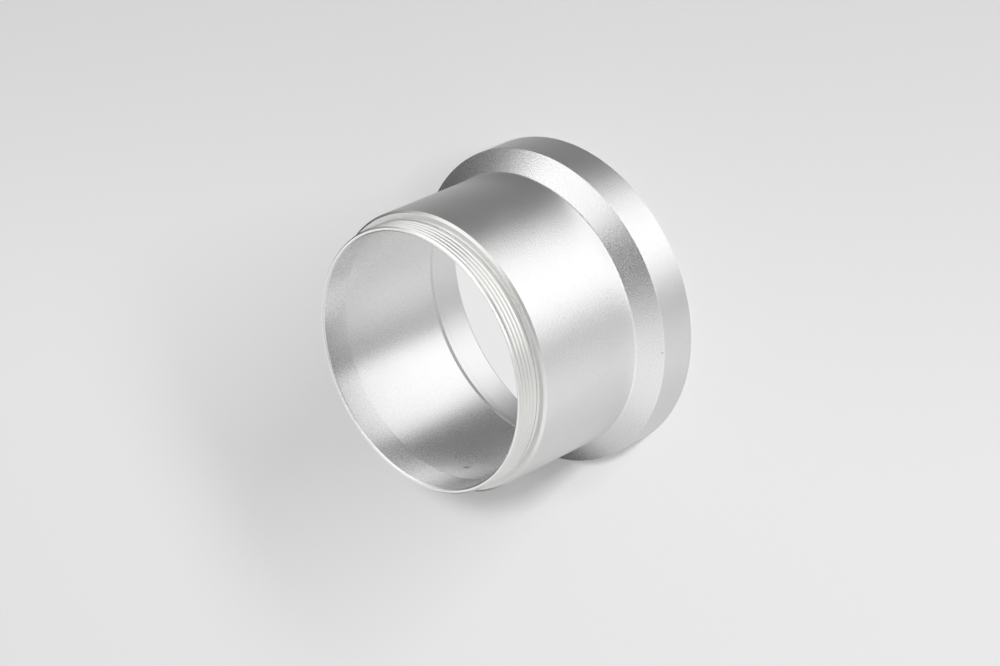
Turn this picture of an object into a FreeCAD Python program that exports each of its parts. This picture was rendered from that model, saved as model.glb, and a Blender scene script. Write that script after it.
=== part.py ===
import FreeCAD, Part
import os

# Lens mount adapter: one tube turned from aluminium bar, in millimetres.
# It stands on the end face of its flange. The origin is the centre of that face,
# and +Z runs along the optical axis towards the threaded mouth.

# Lengths along the axis
overall_length = 36.0
flange_width = 6.9
bevel_length = 3.1
neck_length = 4.4
thread_relief_width = 0.8
shoulder_thickness = 0.6
relief_setback = 1.0

# The two interfaces: the external thread of the neck and the socket in the flange
thread_diameter = 46.0
thread_pitch = 0.75
socket_diameter = 52.0

# Walls and steps, measured across the axis
neck_wall = 0.4
shoulder_width = 1.25
barrel_wall = 0.85
relief_step = 1.1
flange_wall = 1.75

# Edges
thread_lead_chamfer = 0.33
shoulder_chamfer = 0.4
socket_lead_chamfer = 0.9
flange_edge_chamfer = 0.2
bevel_edge_radius = 0.15
barrel_blend_radius = 0.5

# The thread is this deep for each millimetre of pitch, and its relief is a little deeper
thread_depth_ratio = 0.6134
thread_relief_clearance = 0.04

# Radii, from the thread inwards and from the socket outwards
thread_radius = thread_diameter / 2
thread_relief_radius = thread_radius - thread_depth_ratio * thread_pitch - thread_relief_clearance
mouth_bore_radius = thread_relief_radius - neck_wall
barrel_radius = thread_radius + shoulder_width
main_bore_radius = barrel_radius - barrel_wall
relief_bore_radius = main_bore_radius + relief_step
socket_radius = socket_diameter / 2
flange_radius = socket_radius + flange_wall

# Heights above the end face of the flange
socket_floor = flange_width
bevel_top = flange_width + bevel_length
main_bore_floor = bevel_top - relief_setback
shoulder_height = overall_length - neck_length
mouth_bore_floor = shoulder_height - shoulder_thickness
thread_relief_top = shoulder_height + thread_relief_width


def outer_outline():
    """Radius and height of each corner outside, from the flange up to the mouth."""
    flank = thread_radius - thread_relief_radius
    return [
        (flange_radius, 0),
        (flange_radius, flange_width),
        (barrel_radius, bevel_top),
        (barrel_radius, shoulder_height),
        (thread_radius, shoulder_height),
        (thread_relief_radius, shoulder_height + flank),
        (thread_relief_radius, thread_relief_top),
        (thread_radius, thread_relief_top),
        (thread_radius, overall_length),
    ]


def inner_outline():
    """Radius and height of each corner inside, from the mouth down to the flange."""
    return [
        (mouth_bore_radius, overall_length),
        (mouth_bore_radius, mouth_bore_floor),
        (main_bore_radius, mouth_bore_floor),
        (main_bore_radius, main_bore_floor),
        (relief_bore_radius, main_bore_floor),
        (relief_bore_radius, socket_floor),
        (socket_radius, socket_floor),
        (socket_radius, 0),
    ]


def turned(outline):
    """Turn a closed outline of radii and heights about the axis."""
    corners = [FreeCAD.Vector(radius, 0, height) for radius, height in outline]
    section = Part.Face(Part.makePolygon(corners + corners[:1]))
    return section.revolve(FreeCAD.Vector(0, 0, 0), FreeCAD.Vector(0, 0, 1), 360)


def edge_at(solid, radius, height):
    """Find the circular edge of this radius at this height."""
    for edge in solid.Edges:
        if isinstance(edge.Curve, Part.Circle):
            same_radius = abs(edge.Curve.Radius - radius) < 1e-6
            if same_radius and abs(edge.Curve.Center.z - height) < 1e-6:
                return edge
    raise ValueError("no edge of radius %g at height %g" % (radius, height))


def finish_edges(solid):
    """Chamfer and blend the edges as the lathe tool leaves them."""
    chamfers = [
        (thread_lead_chamfer, thread_radius, overall_length),
        (shoulder_chamfer, barrel_radius, shoulder_height),
        (flange_edge_chamfer, flange_radius, 0),
        (socket_lead_chamfer, socket_radius, 0),
    ]
    for size, radius, height in chamfers:
        solid = solid.makeChamfer(size, [edge_at(solid, radius, height)])
    blends = [
        (barrel_blend_radius, barrel_radius, bevel_top),
        (bevel_edge_radius, flange_radius, flange_width),
    ]
    for size, radius, height in blends:
        solid = solid.makeFillet(size, [edge_at(solid, radius, height)])
    return solid


def adapter_tube():
    """The whole adapter: neck, shoulder, barrel, bevel and flange in one piece."""
    return finish_edges(turned(outer_outline() + inner_outline()))


os.makedirs("parts", exist_ok=True)
adapter_tube().exportStep("parts/adapter_tube.step")
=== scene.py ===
"""A turned aluminium lens mount adapter: a thin tube with a male thread at its mouth and a wider flange.

The tube stands on its flange, with its axis on +Z. Its sizes are in millimetres and degrees, and those of
the studio are in metres and degrees.
"""

import math

import bmesh
import bpy
from mathutils import Matrix, Quaternion, Vector


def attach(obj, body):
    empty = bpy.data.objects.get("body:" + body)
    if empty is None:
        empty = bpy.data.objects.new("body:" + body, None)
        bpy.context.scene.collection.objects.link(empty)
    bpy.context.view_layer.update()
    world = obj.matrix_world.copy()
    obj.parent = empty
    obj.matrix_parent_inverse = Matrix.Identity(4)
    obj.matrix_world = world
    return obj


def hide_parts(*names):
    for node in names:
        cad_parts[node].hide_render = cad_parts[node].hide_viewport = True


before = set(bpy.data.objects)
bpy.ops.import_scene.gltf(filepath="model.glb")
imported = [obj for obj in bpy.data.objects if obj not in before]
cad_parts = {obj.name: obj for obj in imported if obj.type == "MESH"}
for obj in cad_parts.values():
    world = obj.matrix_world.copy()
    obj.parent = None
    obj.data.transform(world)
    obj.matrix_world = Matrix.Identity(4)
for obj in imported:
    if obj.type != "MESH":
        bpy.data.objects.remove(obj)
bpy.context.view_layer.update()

MM = 0.001

# Outside of the tube, from the flange end up to the shoulder.
LENGTH = 36.0
FLANGE_RADIUS = 27.75
FLANGE_TOP = 6.9
FLANGE_EDGE_CHAMFER = 0.2
BARREL_RADIUS = 24.25
BEVEL_TOP = 10.0
SHOULDER_Z = 31.6
SHOULDER_CHAMFER = 0.4

# Neck above the shoulder: a 45 degree flank, a narrow straight line and a cone that ends at the thread.
NECK_RADIUS = 22.75
NECK_LINE_TOP = 32.1
GROOVE_RADIUS = 22.5

# Male thread: a 60 degree form, one right-hand start, in metric proportions. At +X the middle of one
# of its valleys is at THREAD_VALLEY_Z.
THREAD_RADIUS = 23.0
THREAD_PITCH = 0.75
THREAD_DEPTH = 0.46
THREAD_START_Z = 32.4
THREAD_LEAD_CHAMFER = 0.33
THREAD_VALLEY_Z = 32.50

# Half a pitch of the thread, from the middle of a valley to the crest: share of the pitch, and share of
# the depth that is cut away there. The other half mirrors it.
THREAD_RISE = (
    (0.0, 1.0),
    (0.06, 0.975),
    (0.125, 0.88),
    (0.15, 0.81),
    (0.4125, 0.07),
    (0.43, 0.02),
    (0.445, 0.0),
)
THREAD_FORM = THREAD_RISE + tuple((1.0 - along, cut) for along, cut in reversed(THREAD_RISE))

# Inside of the tube, from the mouth down to the flange end.
MOUTH_RADIUS = 22.1
MOUTH_STEP_Z = 31.0
BORE_RADIUS = 23.4
BORE_STEP_Z = 9.0
RELIEF_RADIUS = 24.5
SOCKET_TOP_Z = 6.9
SOCKET_RADIUS = 26.0
SOCKET_CHAMFER = 0.9

# Chamfer inside the rim, and the tool's run-outs deep in the bore.
RIM_CHAMFER = 0.22
BORE_END_FLARE = 0.26
BORE_END_FLARE_HEIGHT = 0.5
RELIEF_RUNOUT = 0.35
RELIEF_RUNOUT_HEIGHT = 1.1

# Rounding of the edges.
EDGE_BREAK = 0.05
RIM_EDGE_RADIUS = 0.03
BEVEL_EDGE_RADIUS = 0.15
BARREL_BLEND_RADIUS = 0.5

# Where the section line starts on the rim face, and where its two halves meet on the foot.
RIM_START_RADIUS = 22.50
FOOT_INNER_RADIUS = 27.20
FOOT_OUTER_RADIUS = 27.25

# Fineness of the mesh. Vertices that are nearer than WELD_DISTANCE become one.
SEGMENTS = 360
ARC_STEPS = 4
HOLDING_DISTANCE = 0.12
LONG_RUN = 4 * HOLDING_DISTANCE
WELD_DISTANCE = 0.0003
SHARP_ANGLE = 35

# Two small dark blemishes: radius, azimuth and height, tilt, half length and half width.
BORE_NICK = (BORE_RADIUS, 146.75, 25.45, -36.0, 0.66, 0.42)
BEVEL_SPECK = (27.5, -123.6, 7.1, 90.0, 0.17, 0.12)

# A blemish reaches this deep, is even out to the first share of its size and has faded at the second.
MARK_REACH = 0.5
MARK_EVEN_SHARE = 0.6
MARK_FADED_SHARE = 1.1
MARK_TONE = (0.42, 0.42, 0.42)

# Blasted aluminium: a fine grain, and wide clouds that change its tone and roughness a little.
SATIN_TONE = (0.80, 0.80, 0.80)
MOUTH_BAND_TONE = (0.77, 0.77, 0.77)
GRAIN_SIZE = 0.26
GRAIN_DETAIL = 2.0
GRAIN_CONTRAST = 0.55
GRAIN_ROUGHNESS_SPREAD = 0.04
CLOUD_SIZE = 5.0
CLOUD_DETAIL = 3.0
CLOUD_DARKER = 0.965
CLOUD_LIGHTER = 1.02
CLOUD_ROUGHNESS_SPREAD = 0.03

# Cut aluminium: small clouds in its slightly warm tone, and a very fine unevenness from the tool.
# A quarter turn spreads its highlight across the turning lines.
CUT_CLOUD_SIZE = 1.2
CUT_TONE_RISE = 0.05
CUT_WARMTH_LOW = 0.01
CUT_WARMTH_HIGH = 0.02
CUT_ROUGHNESS_SPREAD = 0.04
TOOL_MARK_SIZE = 0.15
TOOL_MARK_DETAIL = 2.0
TOOL_MARK_DEPTH = 0.004
QUARTER_TURN = 0.25

# The roots of the thread are darker than its flanks and than the lead chamfer above them: painted shade in
# the valleys of the thread.
ROOT_SHADE_TONE = (0.66, 0.655, 0.64)
ROOT_SHADE_RADIUS = 22.56
UNSHADED_FLANK_RADIUS = 22.84
ROOT_SHADE_TOP = 35.50
UNSHADED_LEAD_Z = 35.66

# The finishes of the tube's surfaces, in the order of its material slots.
FINISHES = (
    "satin",
    "bevel",
    "bore",
    "socket",
    "mouth_band",
    "rim",
    "machined",
    "shoulder",
    "groove",
    "thread",
)

# The camera looks down into the mouth and is rolled, so that the tube lies across the picture.
CAMERA_PLACE = (0.0, -0.37888, 0.34210)
CAMERA_AIM = (-0.00134, -0.00021, 0.01758)
CAMERA_ROLL = 114.6
CAMERA_LENS = 108.0
CAMERA_SENSOR = 36.0
CLIP_NEAR = 0.01
CLIP_FAR = 20.0

# What the metal reflects: a ball with a pale half and a dark half. SKYWARD points to the dark half.
# The tone changes between two leans: how far a direction points skyward, from -1 to 1.
SURROUNDINGS_RADIUS = 0.36
SURROUNDINGS_SEGMENTS = 128
SURROUNDINGS_RINGS = 64
SKYWARD = (0.790, -0.612, 0.052)
PALE_SIDE = 0.70
PALE_LEAN = -0.70
DARK_SIDE = 0.19
DARK_LEAN = 0.72

# Soft boxes on that ball, and a shaded field where the brightness is below zero. The two front values
# fade a box out towards the plane square to its direction, so that it has no twin behind it.
SOFT_BOXES = (
    # azimuth, elevation, half width, half height, turn, soft edge, brightness
    (-71, -19.5, 35.5, 36.5, -46, 2, 1.13),
    (-20, 42, 19, 28, 48, 2, 1.07),
    (-74, 81, 11.5, 16, -32, 2, 1.80),
    (39, 50, 28, 25, 6, 2, 0.76),
    (88, 10, 34, 47, 35, 14, -0.62),
    (-145, 8, 37, 39, 37, 17, 0.43),
    (94, 41, 23.5, 13, 18, 2, 0.80),
)
FRONT_START = 0.02
FRONT_END = 0.1

# A wide floor with painted shade towards one side. UNDER_TUBE_RADIUS lies beneath the foot; within it the
# floor glows as painted light, which takes away the tube's shadow there.
FLOOR_HALF_SIZE = 6.0
FLOOR_PALE = (0.812, 0.81, 0.812)
FLOOR_SHADED = (0.645, 0.642, 0.645)
SHADED_TOWARD = (0.934, -0.356, 0.0)
SHADE_START = -0.040
SHADE_END = 0.095
UNDER_TUBE_RADIUS = 0.0273

# Even light of the world, and the colour that is seen behind the floor.
WORLD_LIGHT = 0.41
WORLD_COLOUR = (1.0, 1.0, 1.0)
BACKDROP_COLOUR = (0.80, 0.797, 0.80)

# Large soft lamps, which light the floor.
LAMPS = (
    # name, azimuth, elevation, distance, width, height, power
    ("key_lamp", -79, 43, 5.0, 0.45, 0.45, 128.0),
    ("side_lamp", -87, 19, 5.0, 2.60, 0.50, 190.0),
)


def direction(azimuth, elevation):
    """Unit vector for an azimuth from +X and an elevation from the floor, both in degrees."""
    a = math.radians(azimuth)
    e = math.radians(elevation)
    return Vector((math.cos(a) * math.cos(e), math.sin(a) * math.cos(e), math.sin(e)))


# Shape of the tube


def rounded_corner(before, corner, after, radius):
    """Points of an arc that rounds a corner between two straight runs of the section."""
    back = (before - corner).normalized()
    ahead = (after - corner).normalized()
    half_angle = back.angle(ahead) / 2
    reach = radius / math.tan(half_angle)
    centre = corner + (back + ahead).normalized() * (radius / math.sin(half_angle))
    first = corner + back * reach - centre
    last = corner + ahead * reach - centre
    shares = [step / ARC_STEPS for step in range(ARC_STEPS + 1)]
    return [centre + first.lerp(last, share).normalized() * radius for share in shares]


def rounded_line(corners):
    """Section line from corners (radius, height, edge rounding, finish of the surface that follows)."""
    spots = [Vector((radius, z)) for radius, z, rounding, finish in corners]
    line = [(spots[0], corners[0][3])]
    for index in range(1, len(corners) - 1):
        rounding = corners[index][2]
        finish = corners[index][3]
        arc = rounded_corner(spots[index - 1], spots[index], spots[index + 1], rounding)
        for spot in arc:
            line.append((spot, finish))
    line.append((spots[-1], corners[-1][3]))
    return line


def with_holding_rings(line):
    """The same line with a point near each end of every long straight run, which keeps its shading flat."""
    held = [line[0]]
    for (start, finish), (end, next_finish) in zip(line, line[1:]):
        run = end - start
        if run.length > LONG_RUN:
            inset = run.normalized() * HOLDING_DISTANCE
            held.append((start + inset, finish))
            held.append((end - inset, finish))
        held.append((end, next_finish))
    return held


def inside_corners():
    """Rim face, mouth band, main bore, relief and socket, from the rim down to the flange end."""
    return [
        (RIM_START_RADIUS, LENGTH, 0, "rim"),
        (MOUTH_RADIUS + RIM_CHAMFER, LENGTH, RIM_EDGE_RADIUS, "machined"),
        (MOUTH_RADIUS, LENGTH - RIM_CHAMFER, RIM_EDGE_RADIUS, "mouth_band"),
        (MOUTH_RADIUS, MOUTH_STEP_Z, EDGE_BREAK, "bore"),
        (BORE_RADIUS, MOUTH_STEP_Z, EDGE_BREAK, "bore"),
        (BORE_RADIUS, BORE_STEP_Z + BORE_END_FLARE_HEIGHT, EDGE_BREAK, "bore"),
        (BORE_RADIUS + BORE_END_FLARE, BORE_STEP_Z, EDGE_BREAK, "socket"),
        (RELIEF_RADIUS - RELIEF_RUNOUT, BORE_STEP_Z, EDGE_BREAK, "socket"),
        (RELIEF_RADIUS, BORE_STEP_Z - RELIEF_RUNOUT_HEIGHT, EDGE_BREAK, "socket"),
        (RELIEF_RADIUS, SOCKET_TOP_Z, EDGE_BREAK, "socket"),
        (SOCKET_RADIUS, SOCKET_TOP_Z, EDGE_BREAK, "socket"),
        (SOCKET_RADIUS, SOCKET_CHAMFER, EDGE_BREAK, "machined"),
        (SOCKET_RADIUS + SOCKET_CHAMFER, 0.0, EDGE_BREAK, "satin"),
        (FOOT_INNER_RADIUS, 0.0, 0, "satin"),
    ]


def outside_corners():
    """Flange, bevel, barrel, shoulder and neck, from the flange end up to the thread."""
    return [
        (FOOT_OUTER_RADIUS, 0.0, 0, "satin"),
        (FLANGE_RADIUS - FLANGE_EDGE_CHAMFER, 0.0, EDGE_BREAK, "satin"),
        (FLANGE_RADIUS, FLANGE_EDGE_CHAMFER, EDGE_BREAK, "satin"),
        (FLANGE_RADIUS, FLANGE_TOP, BEVEL_EDGE_RADIUS, "bevel"),
        (BARREL_RADIUS, BEVEL_TOP, BARREL_BLEND_RADIUS, "satin"),
        (BARREL_RADIUS, SHOULDER_Z - SHOULDER_CHAMFER, EDGE_BREAK, "machined"),
        (BARREL_RADIUS - SHOULDER_CHAMFER, SHOULDER_Z, EDGE_BREAK, "shoulder"),
        (THREAD_RADIUS, SHOULDER_Z, EDGE_BREAK, "rim"),
        (NECK_RADIUS, SHOULDER_Z + THREAD_RADIUS - NECK_RADIUS, EDGE_BREAK, "groove"),
        (NECK_RADIUS, NECK_LINE_TOP, EDGE_BREAK, "shoulder"),
        (GROOVE_RADIUS, THREAD_START_Z, 0, "groove"),
    ]


def thread_radius(turn_share, z):
    """Radius of the threaded surface, at a share of a turn from +X and a height."""
    along = ((z - THREAD_VALLEY_Z) / THREAD_PITCH - turn_share) % 1.0
    cut = 1.0
    for (start, cut_start), (end, cut_end) in zip(THREAD_FORM, THREAD_FORM[1:]):
        if start <= along <= end:
            cut = cut_start + (cut_end - cut_start) * (along - start) / (end - start)
    lead_chamfer = THREAD_RADIUS - THREAD_LEAD_CHAMFER + (LENGTH - z)
    return min(THREAD_RADIUS - THREAD_DEPTH * cut, lead_chamfer)


def new_vertex(mesh, share, radius, z):
    """A vertex at a share of a turn from +X, a radius and a height."""
    angle = 2 * math.pi * share
    return mesh.verts.new((radius * MM * math.cos(angle), radius * MM * math.sin(angle), z * MM))


def plain_ring(mesh, radius, z):
    """One ring of vertices round the axis."""
    return [new_vertex(mesh, index / SEGMENTS, radius, z) for index in range(SEGMENTS)]


def thread_end_ring(mesh, z):
    """The ring where the thread is cut off, at a height."""
    shares = [index / SEGMENTS for index in range(SEGMENTS)]
    return [new_vertex(mesh, share, thread_radius(share, z), z) for share in shares]


def add_turned_surface(mesh, line):
    """Surface between the thread's two ends: over the rim, down the bore, round the flange and up again."""
    rings = [thread_end_ring(mesh, LENGTH)]
    finishes = ["thread"]
    for spot, finish in line:
        rings.append(plain_ring(mesh, spot.x, spot.y))
        finishes.append(finish)
    rings.append(thread_end_ring(mesh, THREAD_START_Z))
    for upper, lower, finish in zip(rings, rings[1:], finishes):
        for index in range(SEGMENTS):
            after = (index + 1) % SEGMENTS
            face = mesh.faces.new((upper[index], lower[index], lower[after], upper[after]))
            face.material_index = FINISHES.index(finish)


def thread_column(mesh, turn, share):
    """Vertices across one pitch of the thread, at one place on the helix."""
    column = []
    for along, cut in THREAD_FORM:
        height = THREAD_VALLEY_Z + THREAD_PITCH * (turn + share + along)
        z = min(max(height, THREAD_START_Z), LENGTH)
        column.append(new_vertex(mesh, share, thread_radius(share, z), z))
    return column


def add_thread(mesh):
    """The thread as a strip one pitch wide, wound turn after turn and trimmed at both ends of the neck."""
    first_turn = math.floor((THREAD_START_Z - THREAD_VALLEY_Z) / THREAD_PITCH) - 1
    last_turn = math.ceil((LENGTH - THREAD_VALLEY_Z) / THREAD_PITCH)
    for turn in range(first_turn, last_turn + 1):
        columns = [thread_column(mesh, turn, index / SEGMENTS) for index in range(SEGMENTS + 1)]
        for left, right in zip(columns, columns[1:]):
            for row in range(len(THREAD_FORM) - 1):
                face = mesh.faces.new((left[row], right[row], right[row + 1], left[row + 1]))
                face.material_index = FINISHES.index("thread")


def make_tube(materials):
    """The whole turned piece as one closed mesh."""
    mesh = bmesh.new()
    section = with_holding_rings(rounded_line(inside_corners()))
    section += with_holding_rings(rounded_line(outside_corners()))
    add_turned_surface(mesh, section)
    add_thread(mesh)
    bmesh.ops.remove_doubles(mesh, verts=mesh.verts, dist=WELD_DISTANCE * MM)
    bmesh.ops.recalc_face_normals(mesh, faces=mesh.faces)
    for face in mesh.faces:
        face.smooth = True
    data = bpy.data.meshes.new("turned_tube")
    mesh.to_mesh(data)
    mesh.free()
    for finish in FINISHES:
        data.materials.append(materials[finish])
    data.set_sharp_from_angle(angle=math.radians(SHARP_ANGLE))
    tube = bpy.data.objects.new("turned_tube", data)
    bpy.context.scene.collection.objects.link(tube)
    return tube


# Node helpers


def add_node(tree, kind, **settings):
    """A node with its properties set by name."""
    node = tree.nodes.new(kind)
    for name, value in settings.items():
        setattr(node, name, value)
    return node


def add_object_place(tree):
    """The shaded place in the part's own coordinates."""
    return add_node(tree, "ShaderNodeTexCoord").outputs["Object"]


def add_noise(tree, size, detail, contrast=0.5):
    """Noise in the part's own coordinates, with features of about the given size in millimetres."""
    noise = add_node(tree, "ShaderNodeTexNoise")
    noise.inputs["Scale"].default_value = 1 / (size * MM)
    noise.inputs["Detail"].default_value = detail
    noise.inputs["Roughness"].default_value = contrast
    tree.links.new(add_object_place(tree), noise.inputs["Vector"])
    return noise.outputs["Fac"]


def add_range(tree, value, low, high, smooth=False, start=0.0, end=1.0):
    """The value mapped from start..end to low..high, and held there beyond them."""
    kind = "SMOOTHSTEP" if smooth else "LINEAR"
    mapped = add_node(tree, "ShaderNodeMapRange", interpolation_type=kind)
    mapped.inputs["From Min"].default_value = start
    mapped.inputs["From Max"].default_value = end
    mapped.inputs["To Min"].default_value = low
    mapped.inputs["To Max"].default_value = high
    tree.links.new(value, mapped.inputs["Value"])
    return mapped.outputs["Result"]


def add_math(tree, operation, first, second=0.0):
    """One or two values worked on by an operation. The second may be a number."""
    node = add_node(tree, "ShaderNodeMath", operation=operation)
    tree.links.new(first, node.inputs[0])
    if isinstance(second, (int, float)):
        node.inputs[1].default_value = second
    else:
        tree.links.new(second, node.inputs[1])
    return node.outputs["Value"]


def add_length(tree, vector):
    """Length of a vector."""
    length = add_node(tree, "ShaderNodeVectorMath", operation="LENGTH")
    tree.links.new(vector, length.inputs[0])
    return length.outputs["Value"]


def add_dot(tree, vector, fixed):
    """How far a vector leans towards a fixed one."""
    dot = add_node(tree, "ShaderNodeVectorMath", operation="DOT_PRODUCT")
    tree.links.new(vector, dot.inputs[0])
    dot.inputs[1].default_value = fixed
    return dot.outputs["Value"]


def add_radius(tree):
    """Distance from the tube's axis."""
    flat = add_node(tree, "ShaderNodeVectorMath", operation="MULTIPLY")
    flat.inputs[1].default_value = (1.0, 1.0, 0.0)
    tree.links.new(add_object_place(tree), flat.inputs[0])
    return add_length(tree, flat.outputs["Vector"])


def add_height(tree):
    """Height above the floor."""
    parts = add_node(tree, "ShaderNodeSeparateXYZ")
    tree.links.new(add_object_place(tree), parts.inputs[0])
    return parts.outputs["Z"]


def add_colour_mix(tree, share, low, high):
    """A colour between two others. Each may be a colour or another node's output."""
    mix = add_node(tree, "ShaderNodeMix", data_type="RGBA")
    tree.links.new(share, mix.inputs["Factor"])
    for name, value in (("A", low), ("B", high)):
        socket = [s for s in mix.inputs if s.name == name and s.type == "RGBA"][0]
        if isinstance(value, tuple):
            socket.default_value = (*value, 1.0)
        else:
            tree.links.new(value, socket)
    return [s for s in mix.outputs if s.type == "RGBA"][0]


def add_bump(tree, height, depth):
    """Bump from a height of 0 to 1, with its depth in millimetres."""
    bump = add_node(tree, "ShaderNodeBump")
    bump.inputs["Distance"].default_value = depth * MM
    tree.links.new(height, bump.inputs["Height"])
    return bump.outputs["Normal"]


# Materials of the tube


def new_metal(name):
    """A bare metal material: its node tree and its shader."""
    material = bpy.data.materials.new(name)
    material.use_nodes = True
    tree = material.node_tree
    shader = tree.nodes["Principled BSDF"]
    shader.inputs["Metallic"].default_value = 1.0
    return material, tree, shader


def add_mark(tree, radius, azimuth, z, tilt, half_length, half_width):
    """Mask of a small long mark on a turned wall. It lies round the axis and then tilts, in degrees."""
    outward = direction(azimuth, 0)
    along = Quaternion(outward, math.radians(tilt)) @ Vector((0, 0, 1)).cross(outward)
    axes = Matrix((along, outward.cross(along), outward)).transposed()
    local = add_node(tree, "ShaderNodeMapping", vector_type="TEXTURE")
    local.inputs["Location"].default_value = outward * (radius * MM) + Vector((0, 0, z * MM))
    local.inputs["Rotation"].default_value = axes.to_euler()
    local.inputs["Scale"].default_value = (half_length * MM, half_width * MM, MARK_REACH * MM)
    tree.links.new(add_object_place(tree), local.inputs["Vector"])
    away = add_length(tree, local.outputs["Vector"])
    return add_range(tree, away, 1.0, 0.0, smooth=True, start=MARK_EVEN_SHARE, end=MARK_FADED_SHARE)


def blasted_finish(name, colour, roughness, grain_depth, mark=None):
    """Fine-blasted and clear-anodised aluminium: an even satin with a small sparkling grain."""
    material, tree, shader = new_metal(name)
    grain = add_noise(tree, GRAIN_SIZE, GRAIN_DETAIL, GRAIN_CONTRAST)
    cloud = add_noise(tree, CLOUD_SIZE, CLOUD_DETAIL)
    darker = tuple(CLOUD_DARKER * c for c in colour)
    lighter = tuple(CLOUD_LIGHTER * c for c in colour)
    tone = add_colour_mix(tree, cloud, darker, lighter)
    if mark is not None:
        tone = add_colour_mix(tree, add_mark(tree, *mark), tone, MARK_TONE)
    tree.links.new(tone, shader.inputs["Base Color"])
    cloud_spread = add_range(tree, cloud, -CLOUD_ROUGHNESS_SPREAD, CLOUD_ROUGHNESS_SPREAD)
    grain_spread = add_range(tree, grain, -GRAIN_ROUGHNESS_SPREAD, GRAIN_ROUGHNESS_SPREAD)
    cloudy = add_math(tree, "ADD", cloud_spread, roughness)
    tree.links.new(add_math(tree, "ADD", grain_spread, cloudy), shader.inputs["Roughness"])
    tree.links.new(add_bump(tree, grain, grain_depth), shader.inputs["Normal"])
    return material


def with_painted_root_shade(tree, tone):
    """The tone of cut metal, with painted shade in the roots of the thread."""
    root = ROOT_SHADE_RADIUS * MM
    flank = UNSHADED_FLANK_RADIUS * MM
    unshaded_flanks = add_range(tree, add_radius(tree), 0.0, 1.0, start=root, end=flank)
    below = ROOT_SHADE_TOP * MM
    above = UNSHADED_LEAD_Z * MM
    unshaded_lead = add_range(tree, add_height(tree), 0.0, 1.0, start=below, end=above)
    unshaded = add_math(tree, "MAXIMUM", unshaded_flanks, unshaded_lead)
    return add_colour_mix(tree, unshaded, ROOT_SHADE_TONE, tone)


def machined_finish(name, tone, roughness, anisotropy, painted_root_shade=False):
    """Bright cut metal: fine turning lines round the axis spread the highlight across them."""
    material, tree, shader = new_metal(name)
    shader.inputs["Anisotropic"].default_value = anisotropy
    shader.inputs["Anisotropic Rotation"].default_value = QUARTER_TURN
    around = add_node(tree, "ShaderNodeTangent", direction_type="RADIAL", axis="Z")
    tree.links.new(around.outputs["Tangent"], shader.inputs["Tangent"])
    cloud = add_noise(tree, CUT_CLOUD_SIZE, CLOUD_DETAIL)
    raised = tone + CUT_TONE_RISE
    low = (tone, tone, tone - CUT_WARMTH_LOW)
    high = (raised, raised, raised - CUT_WARMTH_HIGH)
    cloudy = add_colour_mix(tree, cloud, low, high)
    # Painted shade in the roots of the thread.
    if painted_root_shade:
        cloudy = with_painted_root_shade(tree, cloudy)
    tree.links.new(cloudy, shader.inputs["Base Color"])
    smoother = roughness - CUT_ROUGHNESS_SPREAD
    rougher = roughness + CUT_ROUGHNESS_SPREAD
    tree.links.new(add_range(tree, cloud, smoother, rougher), shader.inputs["Roughness"])
    tool_marks = add_noise(tree, TOOL_MARK_SIZE, TOOL_MARK_DETAIL)
    tree.links.new(add_bump(tree, tool_marks, TOOL_MARK_DEPTH), shader.inputs["Normal"])
    return material


def blasted_finishes():
    """The barrel and flange, the bevel, the main bore, the socket, and the band inside the mouth."""
    return {
        "satin": blasted_finish(
            "satin_aluminium", SATIN_TONE, roughness=0.31, grain_depth=0.050
        ),
        "bevel": blasted_finish(
            "bevel_aluminium", SATIN_TONE, roughness=0.28, grain_depth=0.035, mark=BEVEL_SPECK
        ),
        "bore": blasted_finish(
            "bore_aluminium", SATIN_TONE, roughness=0.28, grain_depth=0.008, mark=BORE_NICK
        ),
        "socket": blasted_finish(
            "socket_aluminium", SATIN_TONE, roughness=0.35, grain_depth=0.015
        ),
        "mouth_band": blasted_finish(
            "mouth_band_aluminium", MOUTH_BAND_TONE, roughness=0.27, grain_depth=0.008
        ),
    }


def machined_finishes():
    """The rim and the neck's flank, the chamfers, the shoulder, the neck's line and the thread."""
    return {
        "rim": machined_finish(
            "machined_rim", tone=0.87, roughness=0.42, anisotropy=0.9
        ),
        "machined": machined_finish(
            "machined_edge", tone=0.78, roughness=0.36, anisotropy=0.5
        ),
        "shoulder": machined_finish(
            "machined_shoulder", tone=0.855, roughness=0.50, anisotropy=0.6
        ),
        # The neck's narrow line: its low tone is painted shade of the groove.
        "groove": machined_finish(
            "groove_painted_shade", tone=0.60, roughness=0.40, anisotropy=0.3
        ),
        # The thread carries painted shade in its roots.
        "thread": machined_finish(
            "cut_thread", tone=0.88, roughness=0.33, anisotropy=0.3, painted_root_shade=True
        ),
    }


# Studio


def empty_material(name):
    """A material with no nodes yet, and its node tree."""
    material = bpy.data.materials.new(name)
    material.use_nodes = True
    material.node_tree.nodes.clear()
    return material, material.node_tree


def mix_shaders(tree, share, first, second):
    """A shader between two others."""
    mix = add_node(tree, "ShaderNodeMixShader")
    tree.links.new(share, mix.inputs[0])
    tree.links.new(first, mix.inputs[1])
    tree.links.new(second, mix.inputs[2])
    return mix.outputs["Shader"]


def end_tree(tree, kind, shader):
    """The output node that ends a tree."""
    output = add_node(tree, kind)
    tree.links.new(shader, output.inputs["Surface"])


def add_seen(tree):
    """1 for a place that is seen, directly, in metal or through glass, and 0 for the light that it gives."""
    ray = add_node(tree, "ShaderNodeLightPath")
    seen = add_math(tree, "MAXIMUM", ray.outputs["Is Camera Ray"], ray.outputs["Is Glossy Ray"])
    return add_math(tree, "MAXIMUM", seen, ray.outputs["Is Transmission Ray"])


def new_studio_object(name, shape, material):
    """An object of the studio, in one material."""
    data = bpy.data.meshes.new(name)
    shape.to_mesh(data)
    shape.free()
    data.materials.append(material)
    thing = bpy.data.objects.new(name, data)
    bpy.context.scene.collection.objects.link(thing)
    return thing


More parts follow.
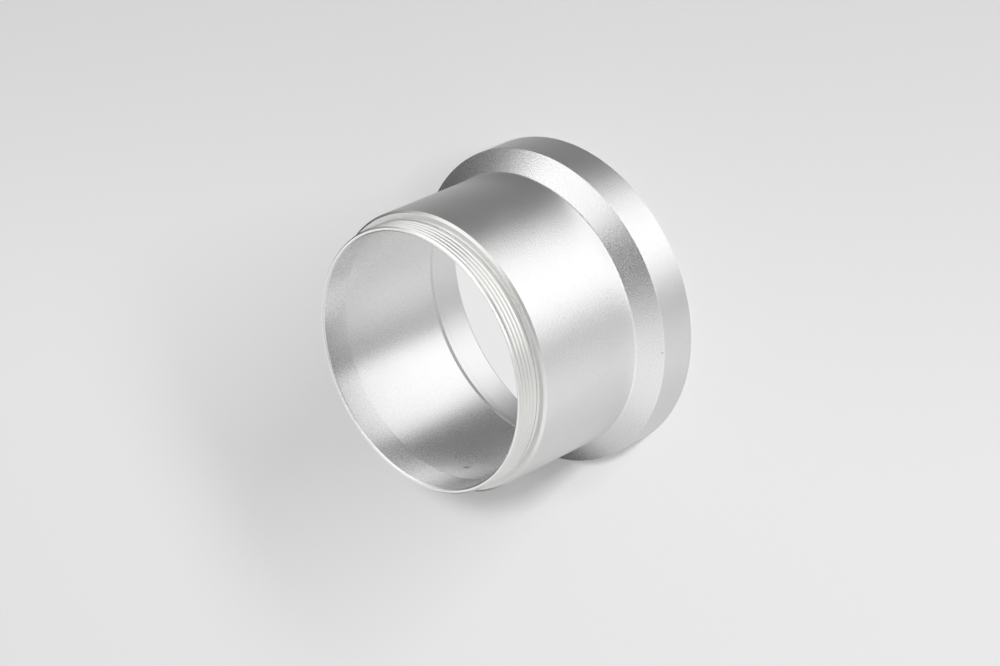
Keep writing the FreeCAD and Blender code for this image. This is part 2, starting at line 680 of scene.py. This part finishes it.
def add_direction(tree):
    """Direction from the middle of the studio to the place that is shaded."""
    place = add_node(tree, "ShaderNodeNewGeometry")
    unit = add_node(tree, "ShaderNodeVectorMath", operation="NORMALIZE")
    tree.links.new(place.outputs["Position"], unit.inputs[0])
    return unit.outputs["Vector"]


def add_soft_box(tree, toward, centre, half_width, half_height, turn, edge):
    """Mask of a soft-edged rectangular light, seen from the middle of the studio. Sizes are in degrees."""
    sideways = Vector((0, 0, 1)).cross(centre).normalized()
    upwards = centre.cross(sideways)
    turned = Quaternion(centre, math.radians(turn))
    front = add_dot(tree, toward, centre)
    mask = add_range(tree, front, 0.0, 1.0, start=FRONT_START, end=FRONT_END)
    for axis, half in ((turned @ sideways, half_width), (turned @ upwards, half_height)):
        offset = add_math(tree, "DIVIDE", add_dot(tree, toward, axis), front)
        offset = add_math(tree, "ABSOLUTE", offset)
        inner = math.tan(math.radians(half - edge))
        outer = math.tan(math.radians(half + edge))
        side = add_range(tree, offset, 1.0, 0.0, smooth=True, start=inner, end=outer)
        mask = add_math(tree, "MULTIPLY", mask, side)
    return mask


def surroundings_material():
    """A pale half, a dark half and soft boxes, with no place darker than black. It acts as no lamp."""
    material, tree = empty_material("surroundings")
    toward = add_direction(tree)
    lean = add_dot(tree, toward, SKYWARD)
    light = add_range(tree, lean, PALE_SIDE, DARK_SIDE, smooth=True, start=PALE_LEAN, end=DARK_LEAN)
    for azimuth, elevation, half_width, half_height, turn, edge, brightness in SOFT_BOXES:
        centre = direction(azimuth, elevation)
        mask = add_soft_box(tree, toward, centre, half_width, half_height, turn, edge)
        light = add_math(tree, "ADD", light, add_math(tree, "MULTIPLY", mask, brightness))
    light = add_math(tree, "MAXIMUM", light, 0.0)
    glow = add_node(tree, "ShaderNodeEmission")
    tree.links.new(light, glow.inputs["Strength"])
    end_tree(tree, "ShaderNodeOutputMaterial", glow.outputs["Emission"])
    material.cycles.emission_sampling = "NONE"
    return material


def make_surroundings():
    """A ball round the tube, which only reflections meet."""
    ball = bmesh.new()
    bmesh.ops.create_uvsphere(
        ball,
        u_segments=SURROUNDINGS_SEGMENTS,
        v_segments=SURROUNDINGS_RINGS,
        radius=SURROUNDINGS_RADIUS,
    )
    dome = new_studio_object("surroundings", ball, surroundings_material())
    dome.visible_camera = False
    dome.visible_diffuse = False
    dome.visible_shadow = False
    dome.visible_transmission = False
    dome.visible_volume_scatter = False


def floor_material():
    """Matt and pale, with painted shade towards one side. Inside the tube's foot it glows where it is seen:
    painted light in place of the tube's shadow.
    """
    material, tree = empty_material("pale_floor")
    position = add_node(tree, "ShaderNodeNewGeometry").outputs["Position"]
    along = add_dot(tree, position, SHADED_TOWARD)
    shade = add_range(tree, along, 0.0, 1.0, smooth=True, start=SHADE_START, end=SHADE_END)
    matt = add_node(tree, "ShaderNodeBsdfDiffuse")
    tree.links.new(add_colour_mix(tree, shade, FLOOR_PALE, FLOOR_SHADED), matt.inputs["Color"])
    pale = add_node(tree, "ShaderNodeEmission")
    pale.inputs["Color"].default_value = (*FLOOR_PALE, 1.0)
    within = add_math(tree, "LESS_THAN", add_length(tree, position), UNDER_TUBE_RADIUS)
    share = add_math(tree, "MULTIPLY", within, add_seen(tree))
    floor = mix_shaders(tree, share, matt.outputs["BSDF"], pale.outputs["Emission"])
    end_tree(tree, "ShaderNodeOutputMaterial", floor)
    return material


def make_floor():
    """A pale floor with painted shade and painted light, which the metal doesn't reflect."""
    sheet = bmesh.new()
    bmesh.ops.create_grid(sheet, x_segments=1, y_segments=1, size=FLOOR_HALF_SIZE)
    floor = new_studio_object("floor", sheet, floor_material())
    floor.visible_glossy = False


def make_world():
    """An even pale world: soft light from everywhere, and the backdrop behind the floor's far edge."""
    world = bpy.data.worlds.new("pale_world")
    world.use_nodes = True
    tree = world.node_tree
    tree.nodes.clear()
    ambient = add_node(tree, "ShaderNodeBackground")
    ambient.inputs["Color"].default_value = (*WORLD_COLOUR, 1.0)
    ambient.inputs["Strength"].default_value = WORLD_LIGHT
    backdrop = add_node(tree, "ShaderNodeBackground")
    backdrop.inputs["Color"].default_value = (*BACKDROP_COLOUR, 1.0)
    lights = ambient.outputs["Background"]
    sky = mix_shaders(tree, add_seen(tree), lights, backdrop.outputs["Background"])
    end_tree(tree, "ShaderNodeOutputWorld", sky)
    bpy.context.scene.world = world


def make_lamps():
    """Large soft lamps for the floor. The metal shows the soft boxes of the surroundings instead."""
    for name, azimuth, elevation, distance, width, height, power in LAMPS:
        data = bpy.data.lights.new(name, "AREA")
        data.shape = "RECTANGLE"
        data.size = width
        data.size_y = height
        data.energy = power
        lamp = bpy.data.objects.new(name, data)
        place = direction(azimuth, elevation)
        lamp.location = place * distance
        lamp.rotation_mode = "QUATERNION"
        lamp.rotation_quaternion = (-place).to_track_quat("-Z", "Y")
        lamp.visible_camera = False
        lamp.visible_glossy = False
        bpy.context.scene.collection.objects.link(lamp)


def make_camera():
    """A long lens at the photograph's viewing angle."""
    data = bpy.data.cameras.new("view")
    data.lens = CAMERA_LENS
    data.sensor_width = CAMERA_SENSOR
    data.clip_start = CLIP_NEAR
    data.clip_end = CLIP_FAR
    camera = bpy.data.objects.new("view", data)
    camera.location = CAMERA_PLACE
    aim = Vector(CAMERA_AIM) - Vector(CAMERA_PLACE)
    roll = Quaternion((0, 0, 1), math.radians(-CAMERA_ROLL))
    camera.rotation_mode = "QUATERNION"
    camera.rotation_quaternion = aim.to_track_quat("-Z", "Y") @ roll
    bpy.context.scene.collection.objects.link(camera)
    bpy.context.scene.camera = camera


make_camera()
make_world()
make_lamps()
make_floor()
make_surroundings()
tube = make_tube({**blasted_finishes(), **machined_finishes()})
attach(tube, "root")
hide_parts("adapter_tube")
bpy.context.scene.view_settings.view_transform = "Standard"
